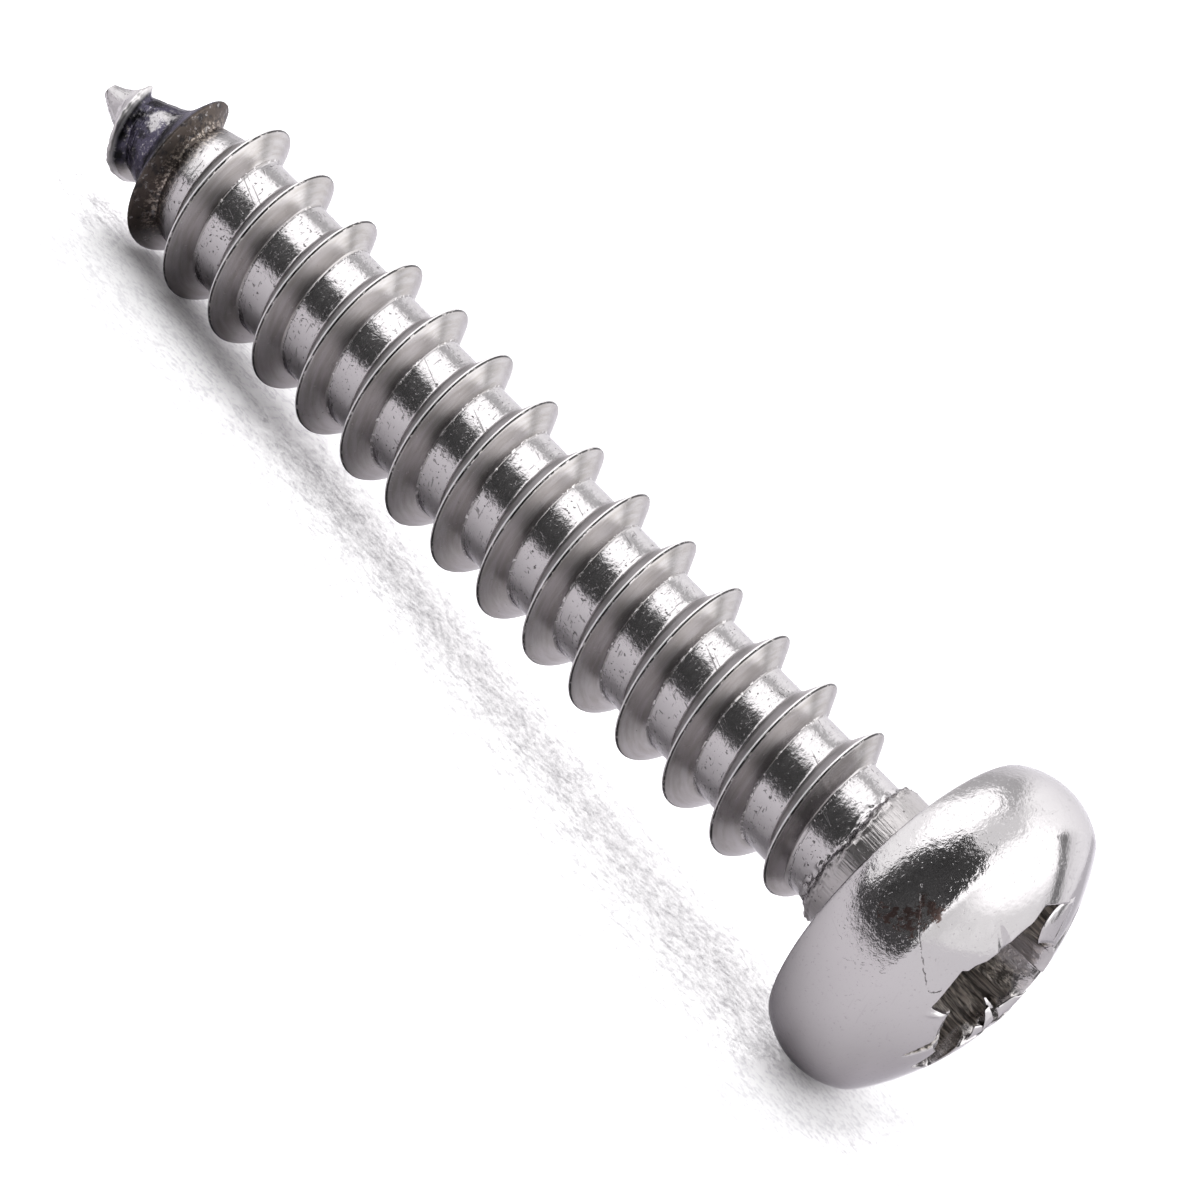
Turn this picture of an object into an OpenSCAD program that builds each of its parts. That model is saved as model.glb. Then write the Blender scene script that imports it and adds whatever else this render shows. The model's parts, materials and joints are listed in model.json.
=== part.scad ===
// Pan head self-tapping screw with a cross recess of type Z, lying at rest
// on its head rim and one turn of its thread. Units are millimetres.
// The tip points to -X, the head to +X, and the surface it lies on is Z = 0.

/* [Length] */
// Length from the under side of the head to the tip
screw_len = 24.7; // [19:0.1:38]

/* [Head] */
// Diameter of the head at its widest
head_d = 7.72; // [7.3:0.02:8.2]
// Height of the head from its under side to the top of its crown
head_h = 3.06; // [2.8:0.02:3.3]
// Radius of the crown of the head
crown_r = 6.04; // [5.5:0.02:7]
// Radius of the rounded side of the head
side_r = 1.63; // [1.5:0.01:1.8]
// Height of the widest part of the head above its under side
rim_h = 0.96; // [0.8:0.01:1.1]

/* [Neck] */
// Diameter of the plain collar that the thread rolls leave under the head
collar_d = 3.3; // [3.15:0.01:3.5]
// Length of the plain collar
collar_len = 1.37; // [1.2:0.01:1.7]
// Length of the torn slope where the collar drops to the thread root
collar_slope = 0.25; // [0.1:0.01:0.35]
// Radius of the fillet between the collar and the under side of the head
neck_fillet = 0.26; // [0.22:0.01:0.3]

/* [Thread] */
// Outside diameter of the thread
thread_d = 4.04; // [3.9:0.01:4.2]
// Diameter at the root of the thread
root_d = 2.92; // [2.75:0.01:3.1]
// Axial distance from one turn to the next
pitch = 1.42; // [1.35:0.01:1.55]
// Angle between the two flanks of the thread
flank_angle = 60; // [50:1:65]
// Width of the narrow land along the crest
crest_w = 0.06; // [0.04:0.01:0.12]
// Length over which the crest fades out towards the collar
fade_len = 1.3; // [1.1:0.05:1.6]
// Distance from the tip to the crest on the upper side of the first turn
first_crest = 0.83; // [0.6:0.01:1.1]
// Flat facets in one turn of the thread
turn_steps = 48; // [24:4:48]

/* [Point] */
// Length of the point, over which the crest grows to full height
point_len = 3.7; // [3.2:0.1:4.5]
// Length from the tip over which the root grows to full thickness
root_taper = 4.1; // [3.6:0.1:5]
// Diameter of the blunt end of the tip
tip_d = 0.3; // [0.2:0.02:0.5]
// How full the curved taper of the point is, where 1 is a straight cone
point_curve = 1.5; // [1.2:0.05:1.8]
// Distance from the tip at which the crest starts to rise from the cone
crest_start = 0.3; // [0.2:0.02:0.4]
// Length over which the crest rises from the cone
crest_rise = 0.4; // [0.2:0.02:0.6]

/* [Drive recess] */
// Diameter across the wings of the recess where they leave the crown
wing_d = 4.44; // [4.2:0.02:4.6]
// Width of each wing
wing_w = 1.04; // [0.9:0.01:1.2]
// Depth of the wings below the top of the crown
recess_depth = 2.45; // [2.1:0.01:2.6]
// Slope of the ends of the wings from the axis of the screw
wing_slope = 26; // [20:1:30]
// Diameter of the core of the recess at the crown
core_d = 2.8; // [2.4:0.02:3.1]
// Slope of the wall of the core from the axis of the screw
core_slope = 7; // [4:0.5:10]
// Diameter of the rolled lip round the core
lip_d = 3.4; // [3.2:0.02:3.8]
// Slope of the rolled lip from the axis of the screw
lip_slope = 52; // [45:1:60]
// Turn of the recess about the screw from the upper side
recess_turn = 1.5; // [-45:0.5:45]

/* [Marks between the wings] */
// Turn of the marks from the wings
mark_turn = 50; // [40:1:50]
// Reach of the marks from the axis of the screw
mark_reach = 2.55; // [2.4:0.01:2.8]
// Depth of each mark at the lip
mark_depth = 0.2; // [0.1:0.01:0.3]
// Angle between the two faces of each mark
mark_angle = 70; // [50:1:90]

/* [Hidden] */
$fn = 96;
// What a cut runs past the face that it leaves through
past = 0.5;
// Slope of the pointed floor of the recess
recess_floor = 30;
// Least step between two points of the thread profile
min_step = 0.02;
// Height of the slight dome on the blunt end of the tip
tip_dome = 0.06;
// How suddenly the crest fades out, where 1 is a straight slope
fade_curve = 0.45;
// Steel under bright plating
steel = [0.78, 0.78, 0.8];

head_r = head_d / 2;
root_r = root_d / 2;
thread_r = thread_d / 2;
collar_r = collar_d / 2;
tip_r = tip_d / 2;
flank_tan = tan(flank_angle / 2);
// Centre of the arc of the head's side, as its distance from the axis
side_x = head_r - side_r;
// Radius of the flat face under the head
bearing_r = side_x + sqrt(side_r * side_r - rim_h * rim_h);
// Top of the crown, measured from the tip
top_z = screw_len + head_h;
// Where the collar starts, and where the threaded shank ends inside it
collar_z = screw_len - collar_len;
root_end = collar_z + collar_len * 0.6;
shank_end = collar_z + collar_len * 0.85;

// Height of the crown at a distance from the axis
function crown_z(r) = top_z - crown_r + sqrt(crown_r * crown_r - r * r);

// Share of full size at a distance from the tip, from 0 to 1
function grown(z, len) = 1 - pow(max(0, 1 - max(0, z) / len), point_curve);
function root_at(z) = tip_r + (root_r - tip_r) * grown(z, root_taper);
// Share of the crest's height at a distance from the tip: it rises from the
// cone of the point, and fades out towards the collar.
function risen(z) = min(1, max(0, (z - crest_start) / crest_rise));
function faded(z) = pow(min(1, max(0, (collar_z - z) / fade_len)), fade_curve);
function crest_at(z) =
    let (full = tip_r + (thread_r - tip_r) * grown(z, point_len), low = root_at(z))
    low + max(0, full - low) * risen(z) * faded(z);

// The thread profile at one step of the helix: root, flank, crest, flank.
// Each point is its distance from the tip and its radius. On the first turn
// the middle of the root is crowded towards the tip.
function profile(z) =
    let (
        crest = crest_at(z),
        rise = crest - root_at(z),
        half = crest_w / 2,
        foot = half + min_step + rise * flank_tan,
        mid = max(z - pitch / 2, z / 4)
    ) [
        [mid, root_at(mid)],
        [z - foot, root_at(z - foot)],
        [z - half, crest],
        [z + half, crest],
        [z + foot, root_at(z + foot)]
    ];
profile_n = 5;

function polar(p, angle) = [p[1] * cos(angle), p[1] * sin(angle), p[0]];

// Crest position and turn at step i, where the crest starts at step 0
first_step = -floor((first_crest - crest_start) / pitch * turn_steps);
function step_z(i) = first_crest + (i + first_step) * pitch / turn_steps;
function step_angle(i) = (i + first_step) * 360 / turn_steps;
step_count = floor((root_end - step_z(0) - pitch / 2) / pitch * turn_steps);

// The threaded shank as one skin: a ring at the tip, the swept profile whose
// last column is the first column of the next turn, and a ring in the collar.
module shank() {
    grid_n = (step_count + 1) * profile_n;
    tail_n = turn_steps;
    function at(i, k) = k < profile_n
        ? (i <= step_count ? i * profile_n + k : grid_n + i - step_count - 1)
        : at(i + turn_steps, 0);
    tip_0 = grid_n + tail_n;
    end_0 = tip_0 + turn_steps;
    function tip_at(i) = tip_0 + i % turn_steps;
    function end_at(i) = end_0 + (i - step_count) % turn_steps;
    tip_mid = end_0 + turn_steps;
    end_mid = tip_mid + 1;
    points = concat(
        [for (i = [0 : step_count], p = profile(step_z(i))) polar(p, step_angle(i))],
        [for (i = [step_count + 1 : step_count + tail_n])
            polar(profile(step_z(i))[0], step_angle(i))],
        [for (i = [0 : turn_steps - 1]) polar([tip_dome, tip_r], step_angle(i))],
        [for (i = [0 : turn_steps - 1])
            polar([shank_end, root_r], step_angle(i + step_count))],
        [[0, 0, 0], [0, 0, shank_end]]
    );
    faces = concat(
        // the swept skin
        [for (i = [0 : step_count - 1], k = [0 : profile_n - 1])
            each [[at(i, k), at(i, k + 1), at(i + 1, k)],
                [at(i + 1, k), at(i, k + 1), at(i + 1, k + 1)]]],
        // from the tip ring up to the first turn of the root line
        [for (i = [0 : turn_steps - 2])
            each [[tip_at(i), at(i, 0), tip_at(i + 1)],
                [tip_at(i + 1), at(i, 0), at(i + 1, 0)]]],
        [[tip_at(turn_steps - 1), at(turn_steps - 1, 0), tip_at(0)],
            [tip_at(0), at(turn_steps - 1, 0), at(0, 0)]],
        [for (k = [0 : profile_n - 1])
            [at(0, k), at(turn_steps - 1, 0), at(0, k + 1)]],
        // from the last turn of the root line up to the ring in the collar
        [for (k = [0 : profile_n - 1])
            [at(step_count, k), at(step_count, k + 1), at(step_count + 1, 0)]],
        [[at(step_count + turn_steps, 0), end_at(step_count), at(step_count + 1, 0)],
            [end_at(step_count), end_at(step_count + 1), at(step_count + 1, 0)]],
        [for (i = [step_count + 1 : step_count + turn_steps - 1])
            each [[at(i, 0), end_at(i), at(i + 1, 0)],
                [end_at(i), end_at(i + 1), at(i + 1, 0)]]],
        [for (i = [0 : turn_steps - 1]) [tip_mid, tip_at(i), tip_at(i + 1)]],
        [for (i = [step_count : step_count + turn_steps - 1])
            [end_mid, end_at(i + 1), end_at(i)]]
    );
    polyhedron(points = points, faces = faces, convexity = 20);
}

// Half section of the collar: torn slope, plain cylinder and neck fillet
module collar_section() {
    difference() {
        polygon([
            [0, collar_z - min_step], [root_r - min_step, collar_z - min_step],
            [collar_r, collar_z + collar_slope], [collar_r, screw_len - neck_fillet],
            [collar_r + neck_fillet, screw_len - neck_fillet],
            [collar_r + neck_fillet, screw_len + min_step], [0, screw_len + min_step]
        ]);
        translate([collar_r + neck_fillet, screw_len - neck_fillet]) circle(neck_fillet);
    }
}

// Half section of the head: flat under side, round side and domed crown
module head_section() {
    intersection() {
        translate([0, top_z - crown_r]) circle(crown_r);
        union() {
            translate([side_x, screw_len + rim_h]) circle(side_r);
            translate([0, screw_len]) square([bearing_r, head_h + past]);
        }
        translate([0, screw_len]) square([head_d, head_h + past]);
    }
}

// One bar of the cross: parallel sides, and ends that slope in with depth
module wing_bar() {
    foot = wing_d / 2 - (crown_z(wing_d / 2) - top_z + recess_depth) * tan(wing_slope);
    reach = foot + (recess_depth + past) * tan(wing_slope);
    translate([0, wing_w / 2, top_z - recess_depth])
    rotate([90, 0, 0])
    linear_extrude(wing_w)
    polygon([
        [-foot, 0], [foot, 0], [reach, recess_depth + past],
        [-reach, recess_depth + past]
    ]);
}

// Half section of the round core: rolled lip, steep wall and pointed floor
module core_section() {
    lip_z = crown_z(lip_d / 2);
    wall_z = lip_z - (lip_d - core_d) / 2 / tan(lip_slope);
    floor_z = top_z - recess_depth;
    floor_r = core_d / 2 - (wall_z - floor_z) * tan(core_slope);
    polygon([
        [0, floor_z - floor_r * tan(recess_floor)], [floor_r, floor_z],
        [core_d / 2, wall_z], [lip_d / 2, lip_z],
        [lip_d / 2 + past * tan(lip_slope), lip_z + past],
        [0, lip_z + past]
    ]);
}

// One mark between two wings: a groove that runs out along the crown
module mark() {
    lip_z = crown_z(lip_d / 2);
    out_z = crown_z(mark_reach);
    drop = atan((lip_z - mark_depth - out_z) / (mark_reach - lip_d / 2));
    half = past * tan(mark_angle / 2);
    translate([mark_reach, 0, out_z])
    rotate([0, drop, 0])
    rotate([90, 0, -90])
    linear_extrude(mark_reach - core_d / 4)
    polygon([[0, 0], [half, past], [-half, past]]);
}

module drive_recess() {
    rotate_extrude() core_section();
    for (turn = [0, 90]) rotate(turn) wing_bar();
    for (turn = [0 : 90 : 270]) rotate(turn + mark_turn) mark();
}

// The whole screw upright, with its tip at the origin and its head on top
module upright_screw() {
    difference() {
        union() {
            shank();
            rotate_extrude() collar_section();
            rotate_extrude() head_section();
        }
        rotate(recess_turn) drive_recess();
    }
}

// Lying at rest, the lowest part of the head's side and the first full turn
// of the crest touch the surface, which gives the lie of the axis.
rest_turn = ceil((point_len - first_crest) / pitch - 0.5);
rest_z = first_crest + (rest_turn + 0.5) * pitch - crest_w / 2;
rest_r = crest_at(rest_z + crest_w / 2);
rise_z = screw_len + rim_h - rest_z;
rise_r = rest_r - side_x;
lie = asin(side_r / norm([rise_z, rise_r])) - atan2(rise_r, rise_z);
axis_z = rest_r * cos(lie) - rest_z * sin(lie);
// Ends of the lying screw along X, measured from the tip: the tip's dome or
// its edge, and the lower corner between a wing and the lip of the recess
tip_x = min(0, tip_dome * cos(lie) - tip_r * sin(lie));
lip_x = norm([lip_d, -wing_w]) / 2;
crown_x = crown_z(lip_d / 2) * cos(lie) + lip_x * sin(lie);

module screw() {
    color(steel)
    translate([-(tip_x + crown_x) / 2, 0, axis_z])
    rotate([0, 90 - lie, 0])
    rotate(180)
    upright_screw();
}

screw();
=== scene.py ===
import json
import math

import bpy
import numpy as np
from mathutils import Matrix, Vector, noise


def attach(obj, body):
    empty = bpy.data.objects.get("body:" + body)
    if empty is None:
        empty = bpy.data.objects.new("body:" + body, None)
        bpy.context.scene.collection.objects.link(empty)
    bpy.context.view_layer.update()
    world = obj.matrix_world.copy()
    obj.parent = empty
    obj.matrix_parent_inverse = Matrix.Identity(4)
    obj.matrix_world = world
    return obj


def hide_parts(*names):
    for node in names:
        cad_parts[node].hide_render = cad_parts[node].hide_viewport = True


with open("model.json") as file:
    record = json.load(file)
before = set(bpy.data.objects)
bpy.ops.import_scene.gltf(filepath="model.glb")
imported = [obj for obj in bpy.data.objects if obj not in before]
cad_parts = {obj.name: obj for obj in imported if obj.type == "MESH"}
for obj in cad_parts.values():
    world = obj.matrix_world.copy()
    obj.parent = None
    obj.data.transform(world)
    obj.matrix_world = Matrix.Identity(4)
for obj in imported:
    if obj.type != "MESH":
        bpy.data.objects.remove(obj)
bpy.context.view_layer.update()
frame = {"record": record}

mm = 0.001
fullTurn = 2 * math.pi

# The screw's own frame: its tip, its axis and the upper side. The axis comes
# from the flat face under the head, and lengths are in mm from the tip.
face = next(m for m in frame["record"]["mounts"] if m["name"] == "under_head")
faceSpot = Vector(face["pos_m"])
alongAxis = -Vector(face["axis"]).normalized()
upAxis = (Vector((0, 0, 1)) - alongAxis * alongAxis.z).normalized()
sideAxis = alongAxis.cross(upAxis)
underHead = 24.7
tipSpot = faceSpot - alongAxis * underHead * mm
screwPlace = Matrix((
    (alongAxis.x, upAxis.x, sideAxis.x, tipSpot.x),
    (alongAxis.y, upAxis.y, sideAxis.y, tipSpot.y),
    (alongAxis.z, upAxis.z, sideAxis.z, tipSpot.z),
    (0, 0, 0, 1),
))
print("frame read, axis", tuple(round(v, 4) for v in alongAxis))


# Small tools for the surface. Angles are in radians round the axis from the
# upper side.
def softMax(a, b, blend):
    h = np.clip(blend - np.abs(a - b), 0, None) / blend
    return np.maximum(a, b) + h * h * blend / 4


def softMin(a, b, blend):
    return -softMax(-a, -b, blend)


def smoothStep(low, high, value):
    t = np.clip((np.asarray(value, float) - low) / (high - low), 0, 1)
    return t * t * (3 - 2 * t)


def onAxis(z, radius, angle):
    return np.stack([z, radius * np.cos(angle), radius * np.sin(angle)], -1)


def wobble(z, angle, radius, size, seed, octaves=3):
    # repeatable noise over the surface, from about -1 to 1
    spots = onAxis(z, radius, angle).reshape(-1, 3) / size
    shift = Vector((seed * 7.31, seed * 3.77, seed * 5.93))
    found = [noise.fractal(Vector(p) + shift, 0.9, 2.1, octaves) for p in spots]
    return np.array(found).reshape(np.shape(z))


def roundInterp(angle, degrees, values):
    # interpolates values given at angles round the screw, and wraps
    return np.interp(np.degrees(angle) % 360, degrees, values, period=360)


shank = {
    "columns": 144,
    "rootR": 1.46,
    "crestR": 2.02,
    "pitch": 1.42,
    "firstCrest": 0.8255,
    "halfFlank": 30,
    "land": 0.06,
    "crestSoft": 0.024,
    "footSoft": 0.01,
    "rearSoft": 0.12,
    "tipSoftZ": [0, 1.6, 3.2],
    "tipSoft": [0.25, 0.2, 0],
    "tipR": 0.15,
    "lumps": 0.09,
    "bluntLen": 0.05,
    "lowestLine": 0.06,
    "rootTaper": 4.1,
    "pointLen": 3.7,
    "pointCurve": 1.5,
    "crestStart": 0.3,
    "crestRise": 0.4,
    "fadeEnd": 23.27,
    "fadeLen": 1.3,
    "fadeCurve": 0.45,
    "lastStep": 22.75,
    "crestFactorZ": [0, 0.5, 1.2, 1.6, 2.4, 3, 3.6, 5.2, 6.4, 7.6, 9],
    "crestFactor": [1.02, 1.04, 1.07, 1.06, 1, 1, 1.004, 0.99, 0.976, 0.99, 1],
    "evenZ": [-1, 1.4, 2.4, 40],
    "realZ": [-1.1, 1.3, 2.4, 40],
}

collar = {
    "radius": 1.65,
    "angles": [0, 75, 165, 255],
    "base": [1.46, 1.18, 1.33, 1.42],
    "edge": [1.30, 0.94, 0.98, 1.14],
    "neckSoft": 0.1,
    "level": 24,
    "raggedBase": 0.07,
    "raggedEdge": 0.08,
    "tornReach": 0.12,
    "torn": 0.075,
}


def grown(z, length):
    return 1 - np.clip(1 - np.clip(z, 0, None) / length, 0, None) ** shank["pointCurve"]


def rootAt(z):
    s = shank
    return s["tipR"] + (s["rootR"] - s["tipR"]) * grown(z, s["rootTaper"])


def crestAt(z):
    s = shank
    full = s["tipR"] + (s["crestR"] - s["tipR"]) * grown(z, s["pointLen"])
    full = full * np.interp(z, s["crestFactorZ"], s["crestFactor"])
    risen = np.clip((z - s["crestStart"]) / s["crestRise"], 0, 1)
    faded = np.clip((s["fadeEnd"] - z) / s["fadeLen"], 0, 1) ** s["fadeCurve"]
    return rootAt(z) + np.clip(full - rootAt(z), 0, None) * risen * faded


def toReal(z):
    # the first turn stands a little nearer to the tip than an even helix
    return np.interp(z, shank["evenZ"], shank["realZ"])


def nearestCrest(z, angle):
    even = np.interp(z, shank["realZ"], shank["evenZ"])
    turns = (even - shank["firstCrest"]) / shank["pitch"] - angle / fullTurn
    return (turns - np.round(turns)) * shank["pitch"]


def collarAt(z, angle):
    c = collar
    level = z * 0 + c["level"]
    base = underHead - roundInterp(angle, c["angles"], c["base"])
    base = base + c["raggedBase"] * wobble(level, angle, c["radius"], 0.2, 3)
    edge = underHead - roundInterp(angle, c["angles"], c["edge"])
    edge = edge + c["raggedEdge"] * wobble(level, angle, c["radius"], 0.12, 4)
    rise = smoothStep(base, edge, z)
    near = smoothStep(base - c["tornReach"], base, z) * smoothStep(edge + c["tornReach"], edge, z)
    torn = wobble(z, angle, 1.6, 0.11, 5, 4) * c["torn"] * near
    return rise, torn


def shankRadius(z, angle):
    s = shank
    off = nearestCrest(z, angle)
    crest = crestAt(z - off)
    slope = math.tan(math.radians(s["halfFlank"]))
    height = np.clip(crest - rootAt(z), 1e-4, None)
    flank = crest + (s["land"] / 2 - np.abs(off)) / slope
    thread = softMin(flank, crest, np.minimum(s["crestSoft"], height))
    plain = np.where(off > 0, s["footSoft"], s["rearSoft"])
    soft = np.interp(z, s["tipSoftZ"], s["tipSoft"])
    radius = softMax(rootAt(z), thread, np.minimum(np.maximum(plain, soft), height))
    # the point is a little lumpy
    lumps = s["lumps"] * wobble(z, angle, radius, 0.3, 8) * smoothStep(2.2, 0.2, z)
    radius = radius * (1 + lumps)
    rise, torn = collarAt(z, angle)
    return radius + (collar["radius"] - rootAt(z)) * rise + torn


def turnSamples(crestZ):
    # places across one turn, from root to root, which crowd at the crest and at
    # the feet of the flanks; all offsets are in mm
    s = shank
    slope = math.tan(math.radians(s["halfFlank"]))
    height = float(crestAt(crestZ) - rootAt(crestZ))
    foot = s["land"] / 2 + max(height, 0.05) * slope
    near = [0, 0.02, 0.036, 0.055, 0.085]
    start = max(near[-1], 0.25 * foot)
    near = near[:-1] + [start]
    half = s["pitch"] / 2
    # the foot on the side of the head is sharp, the one behind is a wide curve
    sharp, wide = 0.03, 0.13
    flank = [start + (foot - sharp - start) * t for t in (0.35, 0.7, 1)]
    rest = [foot + 2 * sharp + (half - foot - 2 * sharp) * t for t in (0.3, 0.65, 1)]
    high = np.array(near + flank + [foot, foot + sharp] + rest)
    flank = [start + (foot - wide - start) * t for t in (0.5, 1)]
    curve = [foot + t for t in (-0.09, -0.05, -0.015, 0.02, 0.055, 0.09, wide)]
    rest = [foot + wide + (half - foot - wide) * t for t in (0.5, 1)]
    low = np.array(near + flank + curve + rest)
    lowest = max(crestZ - half, crestZ / 4)
    low = crestZ - low[::-1] * (crestZ - lowest) / half
    return np.concatenate([low[:-1], crestZ + high])


class Skin:
    # gathers points, faces and the zone values of one mesh
    def __init__(self):
        self.spots = []
        self.zones = []
        self.faces = []
        self.count = 0

    def add(self, points, zone):
        points = np.asarray(points, float).reshape(-1, 3)
        zone = np.asarray(zone, float).reshape(len(points), -1)
        first = self.count
        self.spots.append(points)
        self.zones.append(zone)
        self.count += len(points)
        return list(range(first, self.count))

    def band(self, low, high, closed=True):
        # quads between two rows with the same number of points
        last = len(low) if closed else len(low) - 1
        for j in range(last):
            k = (j + 1) % len(low)
            self.faces.append((low[j], low[k], high[k], high[j]))

    def stitch(self, low, lowAt, high, highAt):
        # triangles between two open rows with different points
        a = b = 0
        while a < len(low) - 1 or b < len(high) - 1:
            stepLow = b == len(high) - 1 or (
                a < len(low) - 1 and lowAt[a + 1] <= highAt[b + 1])
            if stepLow:
                self.faces.append((low[a], low[a + 1], high[b]))
                a += 1
            else:
                self.faces.append((low[a], high[b + 1], high[b]))
                b += 1

    def build(self, name, zoneNames):
        mesh = bpy.data.meshes.new(name)
        spots = np.concatenate(self.spots) * mm
        turned = np.array(screwPlace.to_3x3())
        spots = spots @ turned.T + np.array(tipSpot)
        mesh.from_pydata(spots.tolist(), [], self.faces)
        zones = np.concatenate(self.zones)
        for column, zoneName in enumerate(zoneNames):
            layer = mesh.attributes.new(zoneName, "FLOAT", "POINT")
            layer.data.foreach_set("value", zones[:, column].astype(np.float32))
        mesh.polygons.foreach_set("use_smooth", [True] * len(mesh.polygons))
        mesh.validate()
        mesh.update()
        piece = bpy.data.objects.new(name, mesh)
        bpy.context.scene.collection.objects.link(piece)
        return piece


zoneNames = ["flank", "recess", "collar"]
skin = Skin()


def shankZone(z, angle):
    off = nearestCrest(z, angle)
    height = crestAt(z - off) - rootAt(z)
    foot = shank["land"] / 2 + height * math.tan(math.radians(shank["halfFlank"]))
    flank = smoothStep(foot + 0.05, foot - 0.02, np.abs(off)) * smoothStep(0.05, 0.15, height)
    rise = collarAt(z, angle)[0]
    return np.stack([flank * (1 - rise), z * 0, rise], -1)


def shankRow(z, angle):
    return skin.add(onAxis(z, shankRadius(z, angle), angle), shankZone(z, angle))


# the threaded part as rows that follow the helix
startAngle = (shank["crestStart"] - shank["firstCrest"]) / shank["pitch"] * fullTurn
columns = shank["columns"]
stepCount = int((shank["lastStep"] - shank["crestStart"]) / shank["pitch"] * columns)
stepAngle = startAngle + np.arange(stepCount + 1) * (fullTurn / columns)
crestLine = shank["firstCrest"] + shank["pitch"] * stepAngle / fullTurn
samples = np.array([toReal(turnSamples(z)) for z in crestLine])
samples[:, 0] = np.maximum(samples[:, 0], shank["lowestLine"])
perTurn = samples.shape[1]
# the last sample of a turn is the first of the next turn
rows = samples[:, :-1]
spread = np.repeat(stepAngle[:, None], perTurn - 1, 1)
grid = np.array(shankRow(rows.ravel(), spread.ravel())).reshape(rows.shape)
tailZ = samples[-columns:, -1]
topAngle = stepAngle[-columns:]
tail = shankRow(tailZ, topAngle)


def gridAt(i, k):
    # the point of row i at sample k, which may belong to the next turn
    if k < perTurn - 1:
        return int(grid[i, k])
    j = i + columns
    return int(grid[j, 0]) if j <= stepCount else tail[j - stepCount - 1]


for i in range(stepCount):
    for k in range(perTurn - 1):
        skin.faces.append((gridAt(i, k), gridAt(i + 1, k),
                           gridAt(i + 1, k + 1), gridAt(i, k + 1)))
print("thread rows", stepCount, "samples a turn", perTurn)

# rings from the blunt end up to the first line of the thread
tipRings = 9
tipShares = [(t / tipRings) ** 1.2 for t in range(tipRings + 1)]
bluntLen = shank["bluntLen"]
lineZ = samples[:columns, 0]
ringAngle = stepAngle[:columns]
tipRows = [shankRow(bluntLen + (lineZ - bluntLen) * share, ringAngle)
           for share in tipShares[:-1]]
for low, high in zip(tipRows, tipRows[1:]):
    skin.band(low, high, closed=False)
skin.band(tipRows[-1], [gridAt(i, 0) for i in range(columns)], closed=False)
# the seam where the last column of that line meets the first
lastUp = [row[-1] for row in tipRows] + [gridAt(columns - 1, 0)]
lastUpZ = [bluntLen + (lineZ[-1] - bluntLen) * share for share in tipShares]
firstUp = [row[0] for row in tipRows] + [gridAt(0, k) for k in range(perTurn)]
firstUpZ = [bluntLen + (lineZ[0] - bluntLen) * share for share in tipShares[:-1]]
skin.stitch(firstUp, firstUpZ + list(samples[0]), lastUp, lastUpZ)
# the rounded blunt end
under = tipRows[0]
for share in (0.8, 0.5, 0.2):
    z = bluntLen * (1 - (1 - share) ** 2) * share
    ring = onAxis(z + 0 * ringAngle, share * shank["tipR"] + 0 * ringAngle, ringAngle)
    inner = skin.add(ring, np.zeros((columns, 3)))
    skin.band(inner, under)
    under = inner
skin.faces.append(tuple(reversed(under)))

# rows from the last line of the thread up to the head, over the torn collar
neckZ = underHead - collar["neckSoft"]
collarRows = 56
upZ = [tailZ + (neckZ - tailZ) * t / collarRows for t in range(1, collarRows + 1)]
upRows = [shankRow(z, topAngle) for z in upZ]
skin.band(tail, upRows[0], closed=False)
for low, high in zip(upRows, upRows[1:]):
    skin.band(low, high, closed=False)
# the seam between the first column of those rows and the last one
firstUp = [tail[0]] + [row[0] for row in upRows]
lastUp = [gridAt(stepCount, k) for k in range(perTurn)] + [row[-1] for row in upRows]
skin.stitch(firstUp, [tailZ[0]] + [z[0] for z in upZ],
            lastUp, list(samples[stepCount]) + [z[-1] for z in upZ])


head = {
    "radius": 3.856,
    "height": 3.06,
    "crownR": 6.04,
    "sideR": 1.63,
    "rimH": 0.96,
    "faceSoft": 0.07,
    "faceSpan": 0.15,
    "crownSoft": 0.12,
    "crownSpan": 0.25,
    "plainR": 2.95,
}

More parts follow.
